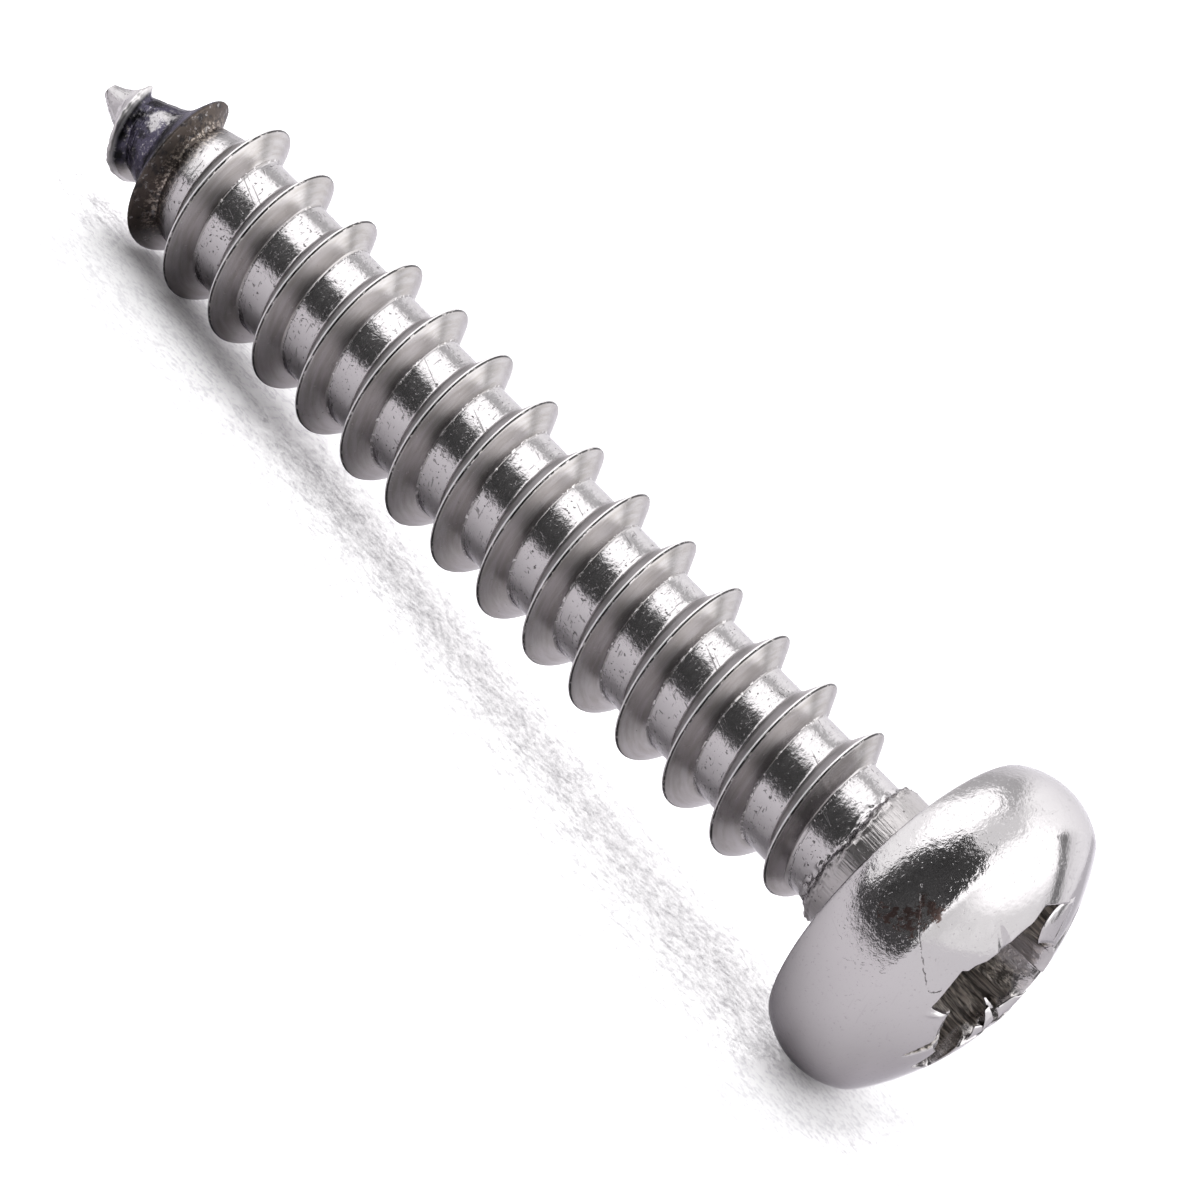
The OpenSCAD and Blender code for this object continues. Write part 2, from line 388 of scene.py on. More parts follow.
recess = {
    "turn": 1.4,
    "wingR": 2.22,
    "wingW": 1.04,
    "cornerSoft": 0.24,
    "wingSoft": 0.05,
    "depth": 2.45,
    "wingSlope": 26,
    "coreR": 1.4,
    "coreSlope": 7,
    "floorSlope": 30,
    # the lip at angles from the first wing: its radius, the depth of its round
    # shoulder, how far bare metal runs down the wall, and how torn it is
    "lipAngles": [8, 18, 27, 42, 52, 64, 71, 77, 90, 103, 108, 150, 168, 195, 222, 250, 285,
                  315, 350],
    "lipR": [2.2, 2.28, 2.02, 1.94, 1.88, 1.93, 2.08, 2.14, 2.2, 1.95, 1.7, 1.67, 1.7, 1.6,
             1.52, 1.5, 1.52, 1.52, 1.55],
    "lipDrop": [0.2, 0.25, 0.4, 0.4, 0.4, 0.4, 0.3, 0.3, 0.2, 0.2, 0.2, 0.2, 0.2, 0.2, 0.25,
                0.2, 0.3, 0.3, 0.25],
    "bare": [0.06, 0.08, 0.1, 0.12, 0.1, 0.1, 0.1, 0.1, 0.1, 0.1, 0.1, 0.08, 0.2, 0.26, 0.26,
             0.24, 0.16, 0.14, 0.24],
    "torn": [0.3, 0.3, 0.1, 0.05, 0.1, 0.15, 0.1, 0.15, 0.2, 0.5, 0.9, 0.8, 1, 1, 1, 1, 0.4,
             0.4, 0.5],
    "tornDepth": 0.15,
    "wornLip": 0.022,
    "edgeSoft": 0.04,
    "burr": 0.12,
    "burrTurn": 107,
    "burrR": 2.0,
    "markTurn": 51,
    "markFrom": 1.7,
    "markReach": 2.66,
    "markHalf": 0.2,
    "markDepth": 0.055,
    "slitTurn": 143.5,
    "slitReach": 2.34,
    "slitHalf": 0.15,
    "slitDepth": 0.297,
    # torn leaves of metal over the far side of the recess, by their corners as
    # radius, turn and depth; then how far the free edge bows round and up
    "leaves": [
        ([(2.44, -17, -0.004), (1.52, -30, 0.0), (1.32, 0.5, 0.12), (2.22, -3, 0.05)], 9.5, 0.02),
        ([(1.52, 270, 0.02), (1.52, 239, 0.02), (1.1, 241, 0.2), (1.2, 262, 0.12)], 3, 0.03),
        ([(1.5, 237, 0.06), (1.5, 223, 0.04), (1.0, 228, 0.3), (1.02, 236, 0.32)], 0, 0.02),
        ([(1.5, 221, 0.05), (1.5, 206, 0.06), (1.12, 208, 0.17), (1.2, 219, 0.1)], 2, 0.03),
        ([(1.2, 241, 0.24), (1.15, 233, 0.3), (0.85, 235, 0.5), (0.88, 238, 0.48)], 0, 0.02),
    ],
    "leafThick": 0.025,
    "leafRagged": 0.02,
    "leafSamples": 9,
}

crownTop = underHead + head["height"]


def crownZ(radius):
    return crownTop - head["crownR"] + np.sqrt(head["crownR"] ** 2 - radius ** 2)


# the outline of the head from the neck to the plain part of the crown
sideX = head["radius"] - head["sideR"]
rimZ = underHead + head["rimH"]
faceR = sideX + math.sqrt(head["sideR"] ** 2 - head["rimH"] ** 2)
apart = math.hypot(sideX, rimZ - (crownTop - head["crownR"]))
lean = math.atan2(rimZ - (crownTop - head["crownR"]), sideX)
reach = (apart ** 2 + head["crownR"] ** 2 - head["sideR"] ** 2) / (2 * apart * head["crownR"])
meetAt = lean - math.acos(min(1, reach))
meetR = head["crownR"] * math.cos(meetAt)
meetZ = crownTop - head["crownR"] + head["crownR"] * math.sin(meetAt)
arcStart = math.atan2(underHead - rimZ, faceR - sideX)
arcEnd = math.atan2(meetZ - rimZ, meetR - sideX)
flatPart = [(r, underHead) for r in np.linspace(2.1, faceR, 60)[:-1]]
sidePart = [(sideX + head["sideR"] * math.cos(a), rimZ + head["sideR"] * math.sin(a))
            for a in np.linspace(arcStart, arcEnd, 200)[:-1]]
crownPart = [(r, float(crownZ(r))) for r in np.linspace(meetR, 1.2, 200)]
outline = np.array(flatPart + sidePart + crownPart)
outlineAt = np.concatenate([[0], np.cumsum(np.hypot(*np.diff(outline, axis=0).T))])
crownFrom = len(flatPart) + len(sidePart)
faceAt = outlineAt[len(flatPart)]
crownAt = outlineAt[crownFrom]


def headOutline(at):
    # a point of the outline, with its two corners rounded off
    soft = head["faceSoft"] * np.exp(-((at - faceAt) / head["faceSpan"]) ** 2) \
        + head["crownSoft"] * np.exp(-((at - crownAt) / head["crownSpan"]) ** 2)
    taps = [(-1, 1), (-0.6, 2), (-0.2, 3), (0.2, 3), (0.6, 2), (1, 1)]
    r = sum(w * np.interp(at + t * soft, outlineAt, outline[:, 0]) for t, w in taps)
    z = sum(w * np.interp(at + t * soft, outlineAt, outline[:, 1]) for t, w in taps)
    total = sum(w for t, w in taps)
    return r / total, z / total


# columns of the head crowd at the sides of the wings and at the marks
wingSteps = [0, 3, 6, 8.5, 10.3, 11.6, 12.6, 13.4, 14.2, 15.1, 16.1, 17.2, 18.4, 19.7,
             21.2, 23, 25.5, 28.5, 31.5, 34.5, 37, 39, 41, 42.5, 43.8, 45, 46, 47, 48,
             49, 50, 51, 52, 53, 54.2, 55.5, 57, 59.5, 62, 64.5, 66.8, 68.6, 70.2,
             71.5, 72.7, 73.8, 74.8, 75.8, 76.6, 77.4, 78.4, 79.7, 81.5, 84, 87]
headAngle = np.radians([q * 90 + s for q in range(4) for s in wingSteps])
headTurn = headAngle + math.radians(recess["turn"])
headN = len(headAngle)
print("head columns", headN)


def wingRadius(angle, reach):
    # how far the four wings reach at an angle from the first one
    r = recess
    side = (angle + math.pi / 4) % (math.pi / 2) - math.pi / 4
    end = reach / np.cos(side)
    flank = r["wingW"] / 2 / np.clip(np.abs(np.sin(side)), 1e-3, None)
    return softMin(end, flank, r["cornerSoft"])


def recessRadius(angle, z):
    r = recess
    drop = crownZ(r["wingR"]) - z
    reach = r["wingR"] - np.clip(drop, -0.1, None) * math.tan(math.radians(r["wingSlope"]))
    below = crownTop - z
    lip = roundInterp(angle, r["lipAngles"], r["lipR"])
    shoulder = roundInterp(angle, r["lipAngles"], r["lipDrop"])
    lipDepth = crownTop - crownZ(lip)
    away = np.clip((below - lipDepth) / shoulder, 0, 1)
    core = r["coreR"] + (lip - r["coreR"]) * (1 - away) ** 2
    core = core - np.clip(below - lipDepth - shoulder, 0, None) \
        * math.tan(math.radians(r["coreSlope"]))
    whole = softMax(core, wingRadius(angle, reach), r["wingSoft"])
    torn = roundInterp(angle, r["lipAngles"], r["torn"])
    rough = wobble(z + 0 * angle, angle, 1.8, 0.4, 11)
    # torn flakes lean inward from the lip, and leave short gaps between them
    rough = np.where(rough > 0, rough * 0.7, rough)
    return whole + r["tornDepth"] * torn * rough * smoothStep(0.7, 0.1, below - lipDepth)


def lipRadius(angle):
    # where the recess leaves the crown, found by a few rounds
    radius = np.full(np.shape(angle), 2.0)
    for tries in range(12):
        radius = 0.5 * radius + 0.5 * recessRadius(angle, crownZ(radius))
    return radius


def isSlit(angle):
    return (angle % fullTurn > math.pi / 2) & (angle % fullTurn < math.pi)


def markDrop(radius, angle):
    # depth of the four short marks between the wings: soft dents, and a dark
    # slit in place of the one below the second wing
    r = recess
    slit = isSlit(angle)
    turn = np.where(slit, r["slitTurn"], r["markTurn"])
    off = (angle - np.radians(turn) + math.pi / 4) % (math.pi / 2) - math.pi / 4
    across = np.abs(radius * np.sin(off))
    reach = np.where(slit, r["slitReach"], r["markReach"])
    along = np.clip((reach - radius) / (reach - r["markFrom"]), 1e-3, 1)
    half = np.where(slit, r["slitHalf"] * along ** 0.7, r["markHalf"] * along ** 0.35)
    depth = np.where(slit, r["slitDepth"] * along ** 0.5, r["markDepth"] * along ** 0.7)
    share = np.clip(across / half, 0, 1)
    return depth * np.where(slit, 1 - share, (1 - share ** 2) ** 1.6)


def lipRise(radius, angle):
    # a burr stands up beside the second wing, and the lowest part of the lip
    # is worn down
    r = recess
    spin = (angle - math.radians(r["burrTurn"])) * radius
    away = np.hypot(spin / 0.1, (radius - r["burrR"]) / 0.3)
    burr = r["burr"] * np.clip(1 - away, 0, 1) * smoothStep(-0.1, 0.06, spin)
    lowest = smoothStep(0.55, 0.9, -np.cos(angle))
    return burr - r["wornLip"] * smoothStep(1.95, 1.6, radius) * lowest


def headRow(z, radius, zone):
    zones = np.zeros((headN, 3))
    zones[:, 1] = zone
    return skin.add(onAxis(z, radius, headTurn), zones)


# neck, flat face, side and plain crown
neckRows = []
for t in np.linspace(0, 1, 5)[1:]:
    a = t * math.pi / 2
    r = collar["radius"] + collar["neckSoft"] * (1 - math.cos(a))
    z = neckZ + collar["neckSoft"] * math.sin(a)
    ring = onAxis(z + 0 * topAngle, r + 0 * topAngle, topAngle)
    neckRows.append(skin.add(ring, [[0, 0, 0.5]] * columns))
skin.band(upRows[-1], neckRows[0])
for low, high in zip(neckRows, neckRows[1:]):
    skin.band(low, high)

plainAt = np.interp(-head["plainR"], -outline[crownFrom:, 0], outlineAt[crownFrom:])
spots = np.concatenate([
    np.linspace(0, faceAt - 0.12, 5),
    faceAt + np.array([-0.06, -0.02, 0.02, 0.06, 0.12]),
    np.linspace(faceAt + 0.22, crownAt - 0.35, 13),
    np.linspace(crownAt - 0.25, crownAt + 0.25, 11),
    np.linspace(crownAt + 0.25, plainAt, 7)[1:],
])
headRows = []
for spot in spots:
    r, z = headOutline(np.full(headN, spot))
    headRows.append(headRow(z, r, 0))
ringFrom, ringTo = neckRows[-1], headRows[0]
fromAt = list(topAngle - topAngle[0]) + [fullTurn]
shift = (headTurn - topAngle[0]) % fullTurn
order = list(np.argsort(shift))
toRow = [ringTo[j] for j in order] + [ringTo[order[0]]]
toAt = [shift[j] for j in order] + [fullTurn + shift[order[0]]]
skin.stitch(ringFrom + [ringFrom[0]], fromAt, toRow, toAt)
for low, high in zip(headRows, headRows[1:]):
    skin.band(low, high)


def markZone(drop):
    # the slit is painted darker than the walls of the recess, as painted shade in the crack
    return np.where(isSlit(headAngle), 2 * smoothStep(0, 0.05, drop),
                    smoothStep(0.2, 0.24, drop))


# the crown round the recess, then its lip, walls and pointed floor
lip = lipRadius(headAngle)
edge = recess["edgeSoft"]
crownRows = []
for t in (0.1, 0.2, 0.29, 0.37, 0.45, 0.53, 0.6, 0.67, 0.73, 0.79, 0.84, 0.89, 0.93, 0.97, 1):
    radius = head["plainR"] + (lip + edge - head["plainR"]) * t
    drop = markDrop(radius, headAngle)
    level = crownZ(radius) - drop + lipRise(radius, headAngle)
    crownRows.append(headRow(level, radius, markZone(drop)))
skin.band(headRows[-1], crownRows[0])
for low, high in zip(crownRows, crownRows[1:]):
    skin.band(low, high)

tornHere = roundInterp(headAngle, recess["lipAngles"], recess["torn"])
lipRows = []
for t in (0.25, 0.5, 0.75, 1):
    a = t * math.pi / 2
    radius = lip + edge * (1 - math.sin(a))
    drop = markDrop(radius, headAngle)
    z = crownZ(radius) - drop - edge * (1 - math.cos(a)) + lipRise(radius, headAngle)
    dull = np.maximum(0.15 * tornHere, markZone(drop))
    lipRows.append(headRow(z, radius, dull))
skin.band(crownRows[-1], lipRows[0])
for low, high in zip(lipRows, lipRows[1:]):
    skin.band(low, high)

floorZ = crownTop - recess["depth"]
topWall = crownZ(lip) - markDrop(lip, headAngle) - edge + lipRise(lip, headAngle)
wallRows = []
bare = roundInterp(headAngle, recess["lipAngles"], recess["bare"])
for t in (0.012, 0.028, 0.045, 0.063, 0.082, 0.102, 0.124, 0.148, 0.175, 0.205, 0.24, 0.28,
          0.33, 0.4, 0.48, 0.57, 0.67, 0.78, 0.89, 1):
    z = topWall + (floorZ - topWall) * t
    radius = recessRadius(headAngle, z)
    # bare metal ends in a ragged line below the lip
    ragged = bare * (1 + 1.2 * wobble(z, headAngle, 1.7, 0.3, 13))
    dull = smoothStep(ragged - 0.03, ragged + 0.03, topWall - z)
    wallRows.append(headRow(z, radius, np.maximum(dull, 0.4 * tornHere)))
skin.band(lipRows[-1], wallRows[0])
for low, high in zip(wallRows, wallRows[1:]):
    skin.band(low, high)
floorR = recessRadius(headAngle, floorZ)
under = wallRows[-1]
for share in (0.9, 0.7, 0.5, 0.3, 0.15, 0.05):
    sink = (1 - share) * float(floorR.mean()) * math.tan(math.radians(recess["floorSlope"]))
    row = headRow(floorZ - sink + 0 * headAngle, floorR * share, 1)
    skin.band(under, row)
    under = row
skin.faces.append(tuple(under))


def addLeaf(corners, bow, arch):
    # a thin curved patch between four corners, closed by its edges
    corners = np.array(corners, float)
    share = np.linspace(0, 1, recess["leafSamples"])
    sheets = []
    for under in (0, recess["leafThick"]):
        rows = []
        for v in share:
            first = corners[0] + (corners[3] - corners[0]) * v
            last = corners[1] + (corners[2] - corners[1]) * v
            radius, turn, drop = (first + (last - first) * share[:, None]).T
            turn = np.radians(turn + bow * 4 * share * (1 - share) * v + recess["turn"])
            ragged = recess["leafRagged"] * wobble(radius, turn, radius, 0.2, 21) * v
            z = crownZ(radius) - drop - under + arch * math.sin(v * math.pi)
            rows.append(skin.add(onAxis(z, radius + ragged, turn), np.zeros((len(z), 3))))
        sheets.append(rows)
    for rows, flip in zip(sheets, (1, -1)):
        for low, high in zip(rows[::flip], rows[::flip][1:]):
            skin.band(high, low, closed=False)
    loops = [rows[0] + [row[-1] for row in rows[1:]] + rows[-1][-2::-1]
             + [row[0] for row in rows[-2:0:-1]] for rows in sheets]
    skin.band(*loops)


for leaf in recess["leaves"]:
    addLeaf(*leaf)

screwPiece = skin.build("screw_skin", zoneNames)
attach(screwPiece, "root")
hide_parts("screw")
print("skin built,", len(screwPiece.data.polygons), "faces")


class Nodes:
    # makes the nodes of one tree, and hands out their sockets
    def __init__(self, tree):
        self.tree = tree
        tree.nodes.clear()

    def make(self, kind, settings=None, output=0, **sockets):
        node = self.tree.nodes.new(kind)
        for name, value in (settings or {}).items():
            setattr(node, name, value)
        for name, value in sockets.items():
            self.feed(node, name, value)
        if not node.outputs:
            return node
        return Value(self, node.outputs[output])

    def split(self, vector):
        parts = self.make("ShaderNodeSeparateXYZ", input0=vector)
        return [Value(self, out) for out in parts.socket.node.outputs]

    def join(self, x, y, z):
        return self.make("ShaderNodeCombineXYZ", X=x, Y=y, Z=z)

    def zone(self, name):
        return self.make("ShaderNodeAttribute", {"attribute_name": name}, output=2)

    def noise(self, vector, scale, detail, roughness):
        return self.make("ShaderNodeTexNoise", Vector=vector, Scale=float(scale),
                         Detail=float(detail), Roughness=roughness)

    def mix(self, share, first, second):
        return self.make("ShaderNodeMix", {"data_type": "RGBA"}, output=2,
                         input0=share, input6=first, input7=second)

    def limit(self, value):
        return self.make("ShaderNodeClamp", Value=value)

    def maths(self, operation, first, second=0.0):
        return self.make("ShaderNodeMath", {"operation": operation},
                         input0=first, input1=second)

    def vector(self, operation, first, second, output=0):
        return self.make("ShaderNodeVectorMath", {"operation": operation}, output,
                         input0=first, input1=second)

    def stretch(self, vector, factor):
        return self.make("ShaderNodeVectorMath", {"operation": "SCALE"},
                         input0=vector, input3=factor)

    def distance(self, first, second):
        return self.vector("DISTANCE", first, second, 1)

    def feed(self, node, name, value):
        if name.startswith("input"):
            target = node.inputs[int(name[5:])]
        else:
            target = node.inputs[name.replace("_", " ")]
        if isinstance(value, Value):
            self.tree.links.new(value.socket, target)
        else:
            target.default_value = value


class Value:
    # one socket, with the arithmetic of plain numbers
    def __init__(self, nodes, socket):
        self.nodes = nodes
        self.socket = socket

    def __add__(self, other):
        return self.nodes.maths("ADD", self, other)

    def __radd__(self, other):
        return self.nodes.maths("ADD", other, self)

    def __sub__(self, other):
        return self.nodes.maths("SUBTRACT", self, other)

    def __rsub__(self, other):
        return self.nodes.maths("SUBTRACT", other, self)

    def __mul__(self, other):
        return self.nodes.maths("MULTIPLY", self, other)

    def __rmul__(self, other):
        return self.nodes.maths("MULTIPLY", other, self)

    def __truediv__(self, other):
        return self.nodes.maths("DIVIDE", self, other)

    def __pow__(self, other):
        return self.nodes.maths("POWER", self, other)

    def band(self, low, high):
        # 0 below low, 1 above high, smooth between; low may be the larger
        settings = {"interpolation_type": "SMOOTHSTEP"}
        if low < high:
            return self.nodes.make("ShaderNodeMapRange", settings,
                                   input0=self, input1=low, input2=high)
        return 1 - self.band(high, low)


def newMaterial(name):
    material = bpy.data.materials.new(name)
    material.use_nodes = True
    return material, Nodes(material.node_tree)


steel = {
    "shade": (0.475, 0.458, 0.466),
    "rimTint": (0.6, 0.59, 0.61),
    "flankShade": (0.36, 0.34, 0.33),
    # a pale colour that paints light: a painted highlight on the crest edge and on the dots at
    # the foot, and painted light on the rear flanks
    "paintedLight": (0.86, 0.84, 0.85),
    "collarShade": (0.42, 0.4, 0.4),
    "stain": (0.075, 0.058, 0.048),
    "stainLight": (0.42, 0.36, 0.31),
    "blued": (0.062, 0.056, 0.09),
    "burnt": (0.008, 0.008, 0.011),
    # dark of pits, scratches and the crack, also used as painted shade in the crease at the foot
    # of the flank
    "pitsAndPaintedShade": (0.07, 0.065, 0.065),
    "wallShade": (0.3, 0.275, 0.255),
    "wallLight": (0.46, 0.43, 0.44),
    # the painted shade of the recess floor
    "floorShade": (0.13, 0.12, 0.115),
    "ribLight": (0.75, 0.68, 0.62),
    # the dark streaks of the ribbed walls, also used as painted shade in the slit
    "ribDarkAndSlitShade": (0.04, 0.035, 0.032),
    "seamShade": (0.02, 0.02, 0.02),
    "rust": (0.08, 0.042, 0.033),
    "headRough": 0.1,
    "coreRough": 0.15,
    "flankRough": 0.24,
    "collarRough": 0.3,
    "wallRough": 0.42,
    "grooves": 0.0018,
    "swell": 0.009,
    "grain": 0.0048,
    "wear": 0.0115,
    "dents": 0.007,
    "flecks": 0.0035,
    "streaks": 0.0014,
    "ribs": 0.05,
    "collarRibs": 0.022,
    # places along the helix, in mm: the burnt and blued valley, then the brown
    # flank; and where the seam of the crest begins
    "bluedFrom": (0.76, 0.84),
    "bluedTo": (2.32, 2.2),
    "stainFrom": (2.2, 2.26),
    "stainTo": (3.0, 2.6),
    "seamFrom": (2.6, 3.4),
    # depth below the crown from which the recess is painted darker, as painted shade, and smooth
    "dark": (1.5, 2.1),
    # a hairline crack on the head, as points in mm in the screw's frame
    "crack": [(25.92, 1.44, 3.56), (26.2, 1.12, 3.59), (26.4, 0.9, 3.57), (26.62, 0.61, 3.48),
              (26.83, 0.31, 3.2), (27.05, -0.05, 2.85), (27.14, -0.23, 2.66),
              (27.2, -0.26, 2.52), (27.28, -0.1, 2.35)],
    "crackHalf": (0.021, 0.006),
    "crackStray": 0.16,
    # a spot in the first valley where the blue is left out so plain metal shows, placed as a
    # painted highlight, as a place and a size
    "bright": [((1.75, 0.53, 0.63), 0.34)],
    # brown spots on its side, as a place and a size
    "spots": [((26.23, 0.84, 3.64), 0.3), ((26.36, 1.2, 3.5), 0.26), ((25.85, 0.66, 3.8), 0.22)],
}


def lineDistance(n, spot, first, second):
    # how far a place is from a straight piece of line
    first, second = Vector(first), Vector(second)
    way = second - first
    apart = n.vector("SUBTRACT", spot, first)
    share = n.vector("DOT_PRODUCT", apart, way, 1) / way.length_squared
    return n.distance(apart, n.stretch(way, n.limit(share)))


def platedSteel():
    material, n = newMaterial("plated_steel")
    world = n.make("ShaderNodeTexCoord", output=3)
    spot = n.make("ShaderNodeMapping", {"vector_type": "TEXTURE"}, Vector=world,
                  Location=tipSpot, Rotation=screwPlace.to_euler(), Scale=(mm, mm, mm))
    x, y, z = n.split(spot)
    radius = (y * y + z * z) ** 0.5
    cosine, sine = y / radius, z / radius
    angle = n.maths("ARCTAN2", z, y)
    flank = n.zone("flank")
    recessed = n.zone("recess")
    slit = recessed.band(1, 1.6)
    recessed = n.limit(recessed)
    deep = (crownTop - x).band(*steel["dark"])
    collared = n.zone("collar")
    onHead = x.band(underHead - 0.05, underHead + 0.05)
    collared = collared * (1 - onHead)
    threaded = (1 - onHead) * (1 - collared)
    plain = threaded * (1 - flank)

    # place across the thread, which follows the helix, in mm
    turns = (x - shank["firstCrest"]) / shank["pitch"] - angle / fullTurn
    across = n.maths("FRACT", turns) * shank["pitch"]

    # marks of rolling on the thread, which run round with it
    grooves = n.noise(n.join(across * 20, cosine * 7 + x, sine * 7), 1, 3, 0.6)
    swell = n.noise(n.join(across * 7, cosine * 6 + x, sine * 6), 1, 2, 0.5)
    streaks = n.noise(n.join(across * 17, cosine * 2.2 + x * 0.4, sine * 2.2), 1, 3, 0.6)
    grain = n.noise(spot, 13, 3, 0.6)
    coarse = n.noise(spot, 2.3, 3, 0.6)
    fleck = n.noise(spot, 15, 2, 0.5).band(0.62, 0.72)
    ribs = n.noise(n.join(x * 0.9, y * 12, z * 12), 1, 3, 0.65)
    scales = n.noise(n.join(x * 8, y * 6, z * 6), 1, 3, 0.62)
    headWear = onHead * x.band(underHead + 1.98, underHead + 1.84) * coarse.band(0.1, 0.4)
    height = (grooves - 0.5) * steel["grooves"] * plain \
        + (swell - 0.5) * steel["swell"] * plain \
        + (streaks - 0.5) * steel["streaks"] * flank \
        + (grain - 0.5) * steel["grain"] * (0.06 + 0.9 * plain + 0.5 * collared) \
        + (scales - 0.5) * steel["wear"] * (headWear + 0.03) \
        + fleck * steel["flecks"] * (0.6 * headWear + 0.4 * plain) \
        + (ribs - 0.5) * (steel["ribs"] * recessed * (1 - 0.8 * deep)
                          + steel["collarRibs"] * collared) \
        + (coarse - 0.5) * steel["dents"] * onHead * (1 - recessed)

    # pits in clusters, fine scratches, and a broken seam along the crest
    pits = n.noise(spot, 14, 2, 0.5).band(0.64, 0.7)
    pits = pits * n.noise(spot, 1.9, 2, 0.5).band(0.4, 0.54) * (1 - flank)
    pits = pits * (1 - 0.75 * onHead)
    around = n.noise(n.join(across * 24, cosine * 5 + x * 3, sine * 5), 1, 1, 0.5)
    hair = n.noise(n.join(x * 5 + y * 16, x * 4 - z * 16, y * 3 + z * 3), 1, 1, 0.5)
    scratch = n.limit(around.band(0.68, 0.73) + hair.band(0.68, 0.73))
    scratch = scratch * n.noise(spot, 2.1, 2, 0.5).band(0.34, 0.46)
    scratch = scratch * (plain + 0.12 * onHead * (1 - recessed))
    patchy = n.noise(n.join(across * 12, cosine * 9 + x, sine * 9), 1, 3, 0.8)
    # the thin edge of the crest, painted pale as a painted highlight
    edge = n.limit(across.band(0.008, 0.0) + across.band(1.38, 1.39)) * threaded
    seam = across.band(0.0, 0.007) * across.band(0.048, 0.034) * patchy.band(0.39, 0.46)
    seam = seam * threaded * x.band(*steel["seamFrom"])
    dots = n.noise(spot, 10, 1, 0.5).band(0.5, 0.58) * coarse.band(0.42, 0.52)
    foot = across.band(0.325, 0.34) * across.band(0.375, 0.36) * threaded
    # the flank that faces the tip is painted paler: painted light in place of the light it gets
    rear = flank * across.band(0.6, 0.8)
    stray = n.make("ShaderNodeTexNoise", output=1, Vector=spot, Scale=4.0, Detail=2.0)
    stray = n.stretch(n.vector("SUBTRACT", stray, (0.5, 0.5, 0.5)), steel["crackStray"])
    stray = n.vector("ADD", spot, stray)
    parts = [lineDistance(n, stray, a, b) for a, b in zip(steel["crack"], steel["crack"][1:])]
    away = parts[0]
    for part in parts[1:]:
        away = n.maths("MINIMUM", away, part)
    crack = (away + (grain - 0.5) * 0.07).band(*steel["crackHalf"])
    rim = collared.band(0.02, 0.3) * collared.band(0.98, 0.75)
    height = height + (grain - 0.5) * 0.02 * rim
    height = height - pits * 0.005 - scratch * 0.002 - seam * 0.006 \
        + foot * (dots * 0.01 - 0.003) - crack * 0.008
    bump = n.make("ShaderNodeBump", Strength=1.0, Distance=mm, Height=height)

    # the first valley is burnt and blued, the flank after it is stained brown
    helix = x - angle * (shank["pitch"] / fullTurn)
    facing = n.maths("ABSOLUTE", angle).band(3.0, 2.5)
    mottled = n.noise(spot, 4.5, 3, 0.65)
    blue = helix.band(*steel["bluedFrom"]) * helix.band(*steel["bluedTo"])
    blue = blue * mottled.band(0.74, 0.64) * facing
    blue = blue * (1 - 0.3 * grain.band(0.56, 0.66))
    # the blue is left out at the spot of a painted highlight
    for place, size in steel["bright"]:
        gap = n.distance(spot, Vector(place)) + (mottled - 0.5) * 1.1
        blue = blue * (1 - 0.75 * gap.band(size, size * 0.5))
    brown = helix.band(*steel["stainFrom"]) * helix.band(*steel["stainTo"]) * facing
    brown = brown * n.noise(spot, 7, 3, 0.7).band(0.26, 0.44)
    dark = n.limit(pits + scratch * 0.7 + crack)
    rust = 0
    for place, size in steel["spots"]:
        gap = n.distance(spot, Vector(place)) + (mottled - 0.5) * 1.1
        rust = gap.band(size, size * 0.75) + rust
    rust = n.limit(rust) * onHead * scales.band(0.36, 0.54)
    light = angle.band(-1.62, -1.5) * angle.band(-0.62, -0.85)
    wall = n.mix(light, (*steel["wallShade"], 1), (*steel["wallLight"], 1))
    shallow = 1 - 0.75 * deep
    wall = n.mix(ribs.band(0.5, 0.62) * (0.7 - 0.4 * light) * shallow, wall,
                 (*steel["ribLight"], 1))
    wall = n.mix(ribs.band(0.5, 0.4) * (0.66 - 0.5 * light) * shallow, wall,
                 (*steel["ribDarkAndSlitShade"], 1))
    # deep in the recess the colour is painted darker: painted shade
    wall = n.mix(deep * 0.7, wall, (*steel["floorShade"], 1))
    shade = n.mix(flank * (0.25 + streaks.band(0.3, 0.7) * 0.75), (*steel["shade"], 1),
                  (*steel["flankShade"], 1))
    # painted highlight along the crest edge
    shade = n.mix(edge * 0.9, shade, (*steel["paintedLight"], 1))
    # painted light on the rear flank
    shade = n.mix(rear * 0.4, shade, (*steel["paintedLight"], 1))
    # the beads along the foot of the flank carry painted glints, and the crease between them
    # painted shade; the bump of the beads is real
    shade = n.mix(foot * dots * 0.35, shade, (*steel["paintedLight"], 1))
    shade = n.mix(foot * (1 - dots) * 0.3, shade, (*steel["pitsAndPaintedShade"], 1))
    shade = n.mix(collared * 0.8, shade, (*steel["collarShade"], 1))
    tint = n.mix(coarse.band(0.4, 0.58), (*steel["burnt"], 1), (*steel["blued"], 1))
    shade = n.mix(blue * 0.96, shade, tint)
    tint = n.mix(grain.band(0.5, 0.6) * helix.band(2.36, 2.52), (*steel["stain"], 1),
                 (*steel["stainLight"], 1))
    tint = n.mix(mottled.band(0.5, 0.36) * 0.8, tint, (*steel["burnt"], 1))
    shade = n.mix(brown * 0.92, shade, tint)
    shade = n.mix(rim * mottled.band(0.48, 0.62) * 0.6, shade, (*steel["pitsAndPaintedShade"], 1))
    shade = n.mix(rust * 0.9, shade, (*steel["rust"], 1))
    shade = n.mix(dark * 0.8, shade, (*steel["pitsAndPaintedShade"], 1))
    shade = n.mix(seam * 0.92, shade, (*steel["seamShade"], 1))
    # painted shade in the slit
    wall = n.mix(slit * 0.8, wall, (*steel["ribDarkAndSlitShade"], 1))
    shade = n.mix(recessed, shade, wall)

